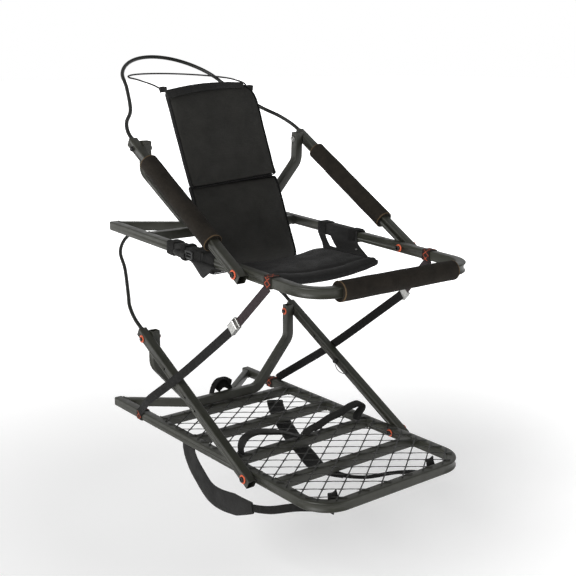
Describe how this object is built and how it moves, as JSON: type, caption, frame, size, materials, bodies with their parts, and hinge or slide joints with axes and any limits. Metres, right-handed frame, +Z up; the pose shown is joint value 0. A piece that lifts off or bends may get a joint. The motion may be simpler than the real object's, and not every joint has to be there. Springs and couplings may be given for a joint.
{
  "type": "climbing tree stand",
  "caption": "Two-piece climbing tree stand: a mesh foot platform and a padded seat of square steel tube, each gripping the trunk with a V bar and a coated cable.",
  "frame": {"origin": "on the axis of the tree trunk it hangs on, level with the top face of the platform's frame", "axes": "+Z up the trunk, +Y from the front bar towards the trunk, +X to the right seen from the front"},
  "size_m": [0.6268, 1.18, 1.19],
  "materials": {
    "coated_steel": "satin grey-brown powder coat",
    "coated_mesh": "dark powder coat",
    "cable_cover": "smooth black vinyl",
    "grip_foam": "matt closed-cell foam",
    "orange_nylon": "satin orange nylon",
    "zinc_steel": "zinc plate",
    "black_webbing": "flat woven webbing",
    "patterned_webbing": "grey webbing with an orange broken pattern",
    "strap_rubber": "matt rubberised strap",
    "pack_cloth": "dark grey pack cloth",
    "buckle_plastic": "black acetal",
    "bungee_cord": "braided elastic cord"
  },
  "bodies": {
    "platform": {"platform_frame": "coated_steel", "platform_v_bar": "coated_steel", "platform_rear_bar": "coated_steel", "platform_cross_bar_1": "coated_steel", "platform_cross_bar_2": "coated_steel", "platform_cross_bar_3": "coated_steel", "platform_mesh": "coated_mesh", "platform_pivot_bolt_left": "orange_nylon", "platform_pivot_bolt_right": "orange_nylon", "foot_strap_left": "strap_rubber", "foot_strap_right": "strap_rubber", "shoulder_strap_left": "black_webbing", "shoulder_strap_right": "black_webbing", "carry_handle": "black_webbing", "tether_rail_loop_left": "patterned_webbing", "tether_rail_loop_right": "patterned_webbing", "tether_left": "black_webbing", "tether_right": "black_webbing"},
    "platform_arms": {"platform_arm_left": "coated_steel", "platform_arm_right": "coated_steel", "platform_hoop_bolt_left": "orange_nylon", "platform_hoop_bolt_right": "orange_nylon", "platform_cable": "cable_cover"},
    "platform_hoop": {"platform_hoop": "coated_steel", "platform_hoop_nut_left": "orange_nylon", "platform_hoop_nut_right": "orange_nylon"},
    "platform_pin": {"platform_pin": "zinc_steel", "pin_wire": "zinc_steel"},
    "seat": {"seat_frame": "coated_steel", "seat_v_bar": "coated_steel", "seat_rear_bar": "coated_steel", "seat_pivot_bolt_left": "orange_nylon", "seat_pivot_bolt_right": "orange_nylon", "front_grip": "grip_foam", "seat_pad": "pack_cloth", "backrest_lower": "pack_cloth", "backrest_upper": "pack_cloth", "seat_hanger_left": "pack_cloth", "seat_hanger_right": "pack_cloth", "hanger_buckle_left": "buckle_plastic", "hanger_buckle_right": "buckle_plastic", "tether_seat_loop_left": "patterned_webbing", "tether_seat_loop_right": "patterned_webbing", "tether_upper_left": "patterned_webbing", "tether_upper_right": "patterned_webbing", "cam_buckle_left": "zinc_steel", "cam_buckle_right": "zinc_steel", "bungee_cord": "bungee_cord"},
    "seat_arms": {"seat_arm_left": "coated_steel", "seat_arm_right": "coated_steel", "seat_hoop_bolt_left": "zinc_steel", "seat_hoop_bolt_right": "zinc_steel", "arm_grip_left": "grip_foam", "arm_grip_right": "grip_foam", "seat_cable": "cable_cover"},
    "seat_hoop": {"seat_hoop": "coated_steel", "seat_hoop_nut_left": "zinc_steel", "seat_hoop_nut_right": "zinc_steel"},
    "cam_lever_left": {"cam_lever_left": "zinc_steel"},
    "cam_lever_right": {"cam_lever_right": "zinc_steel"}
  },
  "joints": [
    {"name": "seat_climb", "type": "slide", "parent": "platform", "child": "seat", "axis": [0, 0, 1], "range_m": [-0.08, 0.25], "deforming": ["tether_left", "tether_right"]},
    {"name": "platform_arm_fold", "type": "hinge", "parent": "platform", "child": "platform_arms", "pos_m": [0, -0.7164, -0.0127], "axis": [1, 0, 0], "range_deg": [-21, 0]},
    {"name": "platform_hoop_fold", "type": "hinge", "parent": "platform", "child": "platform_hoop", "pos_m": [0, -0.2471, 0.0033], "axis": [1, 0, 0], "range_deg": [0, 43]},
    {"name": "platform_pin_pull", "type": "slide", "parent": "platform_arms", "child": "platform_pin", "axis": [-1, 0, 0], "range_m": [0, 0.045]},
    {"name": "seat_arm_fold", "type": "hinge", "parent": "seat", "child": "seat_arms", "pos_m": [0, -0.7136, 0.5146], "axis": [1, 0, 0], "range_deg": [-11, 60]},
    {"name": "seat_hoop_fold", "type": "hinge", "parent": "seat", "child": "seat_hoop", "pos_m": [0, -0.23062, 0.55128], "axis": [1, 0, 0], "range_deg": [-88, 0]},
    {"name": "cam_lever_open_left", "type": "hinge", "parent": "seat", "child": "cam_lever_left", "pos_m": [-0.28955, -0.70222, 0.38622], "axis": [0, 0.7068, 0.7074], "range_deg": [0, 70], "stiffness_Nm_per_rad": 0.05},
    {"name": "cam_lever_open_right", "type": "hinge", "parent": "seat", "child": "cam_lever_right", "pos_m": [0.28955, -0.70222, 0.38622], "axis": [0, -0.7068, -0.7074], "range_deg": [0, 70], "stiffness_Nm_per_rad": 0.05}
  ]
}
